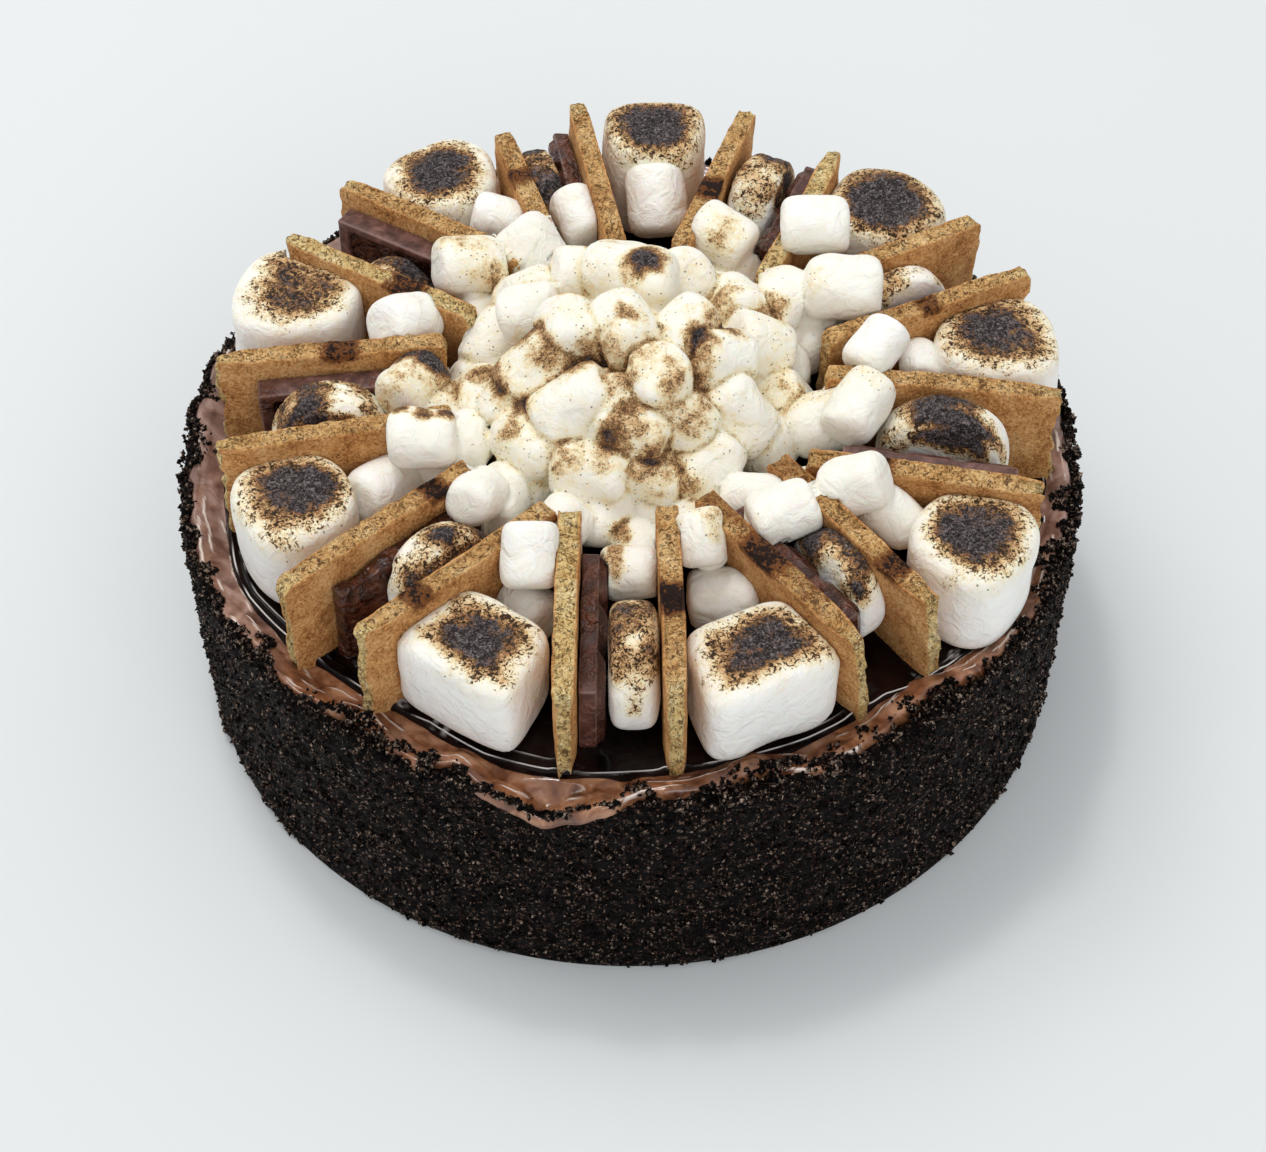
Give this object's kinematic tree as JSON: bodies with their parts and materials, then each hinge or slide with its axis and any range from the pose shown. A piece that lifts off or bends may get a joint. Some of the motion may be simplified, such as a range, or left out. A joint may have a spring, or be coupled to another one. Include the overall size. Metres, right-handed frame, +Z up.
{
  "type": "chocolate cheesecake with toasted marshmallows",
  "caption": "Round chocolate cheesecake in a crumb crust, topped with upright crackers, chocolate bars and toasted marshmallows.",
  "frame": {"origin": "centre of the flat underside of the crust", "axes": "+Z up; -Y towards the front of the picture, +X to its right"},
  "size_m": [0.2286, 0.2286, 0.114],
  "materials": {
    "crust": "matte dark cookie crumbs",
    "filling": "smooth milk chocolate cream, slightly glossy",
    "ganache": "mirror glossy dark chocolate glaze",
    "cracker": "porous golden baked cracker",
    "chocolate": "milk chocolate with a satin surface",
    "mallow": "soft matte marshmallow, torch toasted on top"
  },
  "bodies": {
    "root": {"cracker_a1": "cracker", "cracker_a2": "cracker", "chocolate_a": "chocolate", "cracker_b1": "cracker", "cracker_b2": "cracker", "chocolate_b": "chocolate", "cracker_c1": "cracker", "cracker_c2": "cracker", "chocolate_c": "chocolate", "cracker_d1": "cracker", "cracker_d2": "cracker", "chocolate_d": "chocolate", "cracker_e1": "cracker", "cracker_e2": "cracker", "chocolate_e": "chocolate", "cracker_f1": "cracker", "cracker_f2": "cracker", "chocolate_f": "chocolate", "cracker_g1": "cracker", "cracker_g2": "cracker", "chocolate_g": "chocolate", "cracker_h1": "cracker", "cracker_h2": "cracker", "chocolate_h": "chocolate", "cracker_i1": "cracker", "cracker_i2": "cracker", "chocolate_i": "chocolate", "half_mallow_a": "mallow", "half_mallow_b": "mallow", "half_mallow_c": "mallow", "half_mallow_d": "mallow", "half_mallow_e": "mallow", "half_mallow_f": "mallow", "half_mallow_g": "mallow", "half_mallow_h": "mallow", "half_mallow_i": "mallow", "large_mallow_ab": "mallow", "large_mallow_bc": "mallow", "large_mallow_cd": "mallow", "large_mallow_de": "mallow", "large_mallow_ef": "mallow", "large_mallow_fg": "mallow", "large_mallow_gh": "mallow", "large_mallow_hi": "mallow", "large_mallow_ia": "mallow", "mini_mallow_1": "mallow", "mini_mallow_2": "mallow", "mini_mallow_3": "mallow", "mini_mallow_4": "mallow", "mini_mallow_5": "mallow", "mini_mallow_6": "mallow", "mini_mallow_7": "mallow", "mini_mallow_8": "mallow", "mini_mallow_9": "mallow", "mini_mallow_10": "mallow", "mini_mallow_11": "mallow", "mallow_heap": "mallow", "crust": "crust", "filling": "filling", "ganache": "ganache"}
  },
  "joints": []
}
